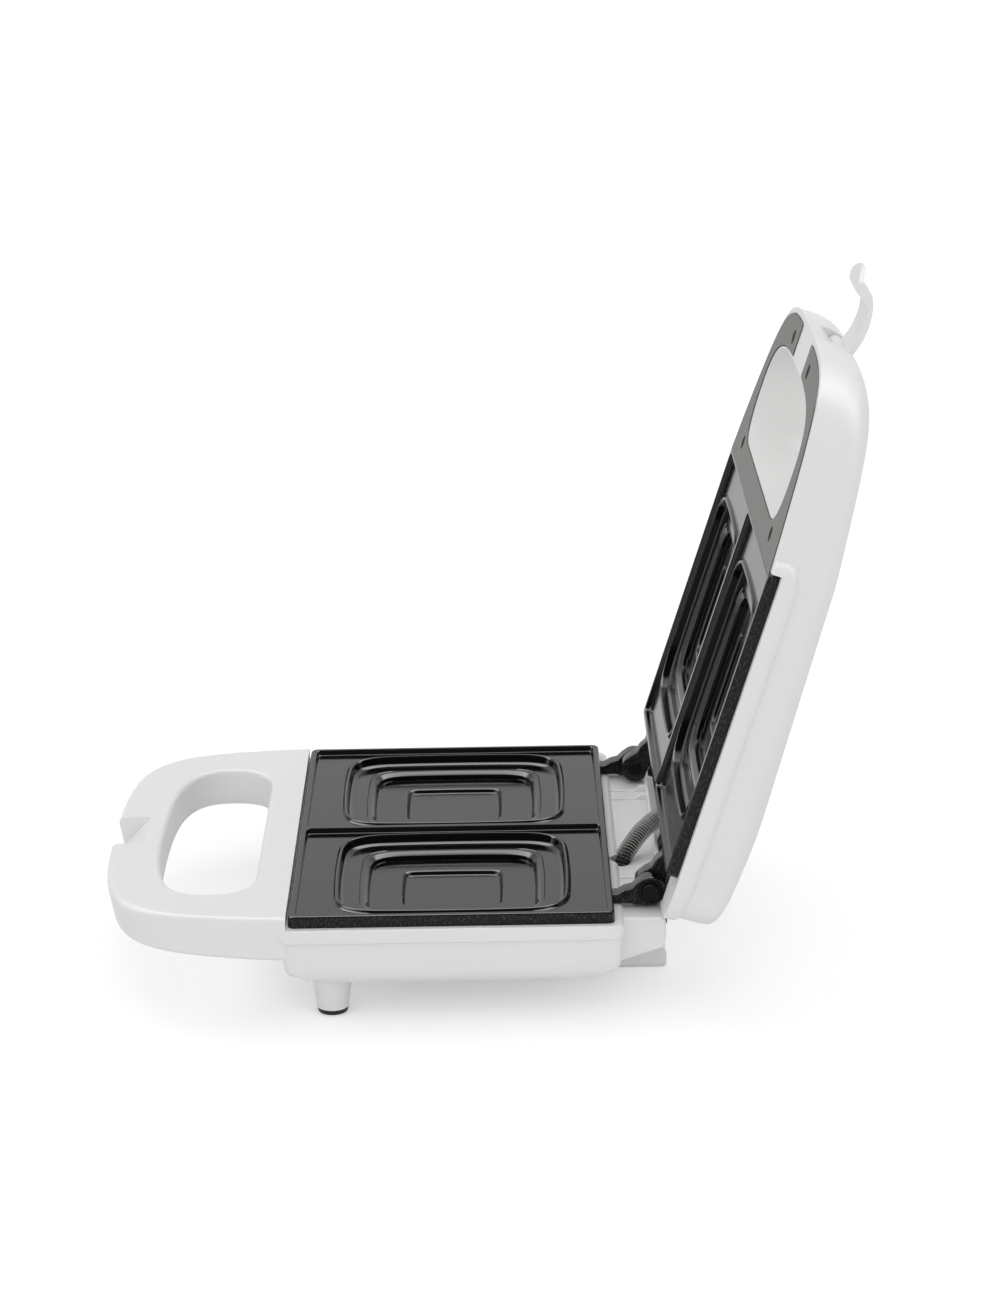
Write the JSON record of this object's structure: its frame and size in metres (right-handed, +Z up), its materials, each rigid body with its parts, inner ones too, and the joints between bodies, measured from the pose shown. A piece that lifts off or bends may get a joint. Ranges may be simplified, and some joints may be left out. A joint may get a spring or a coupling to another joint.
{
  "type": "sandwich toaster",
  "caption": "Open sandwich toaster: ridged non-stick plates with stepped pockets in white housings, hinged lid with a hand-hole, swing latch, moulded feet and a sprung wire conduit.",
  "frame": {"origin": "on the table under the middle of the part's bounding box at rest, with the lid open and the latch hanging out", "axes": "+X runs across the toaster, to the right of a person who stands at its handles and looks towards the hinge, +Y runs from the handles to the hinge, and +Z is up"},
  "size_m": [0.2288, 0.3351, 0.3012],
  "materials": {
    "white_plastic": "satin",
    "dark_panel": "satin",
    "nonstick_casting": "satin",
    "heater_sheath": "oxidised",
    "reflector_sheet": "satin",
    "black_rubber": "matte",
    "screw_steel": "satin",
    "pin_steel": "satin",
    "terminal_ceramic": "glazed",
    "fuse_can": "satin",
    "sleeved_wire": "woven",
    "spring_steel": "coiled",
    "thermostat_body": "satin",
    "red_lens": "translucent",
    "green_lens": "translucent",
    "lamp_glass": "clear",
    "holder_plastic": "satin"
  },
  "bodies": {
    "base": {"base_housing": "white_plastic", "base_handle_cover": "white_plastic", "base_cover_screws": "screw_steel", "front_foot_pads": "black_rubber", "lower_plate": "nonstick_casting", "lower_heater": "heater_sheath", "lower_reflector": "reflector_sheet", "lower_plate_screws": "screw_steel", "hinge_pins": "pin_steel", "terminal_block": "terminal_ceramic", "cord_gland": "black_rubber", "thermal_fuse": "fuse_can", "base_wires": "sleeved_wire", "flex_conduit": "spring_steel"},
    "lid": {"lid_housing": "white_plastic", "lid_handle_panel": "dark_panel", "panel_screws": "screw_steel", "upper_plate": "nonstick_casting", "upper_heater": "heater_sheath", "upper_reflector": "reflector_sheet", "upper_reflector_screws": "screw_steel", "upper_plate_screws": "screw_steel", "thermostat": "thermostat_body", "thermostat_screws": "screw_steel", "power_lens": "red_lens", "ready_lens": "green_lens", "indicator_lamps": "lamp_glass", "lamp_holder": "holder_plastic", "lamp_holder_screws": "screw_steel", "lid_wires": "sleeved_wire", "latch_pin": "pin_steel"},
    "latch": {"latch": "white_plastic"}
  },
  "joints": [
    {"name": "lid_hinge", "type": "hinge", "parent": "base", "child": "lid", "pos_m": [0, 0.06891, 0.05], "axis": [1, 0, 0], "range_deg": [0, 108], "deforming": ["flex_conduit"]},
    {"name": "latch_hinge", "type": "hinge", "parent": "lid", "child": "latch", "pos_m": [0, 0.15409, 0.26363], "axis": [1, 0, 0], "range_deg": [0, 80]}
  ]
}
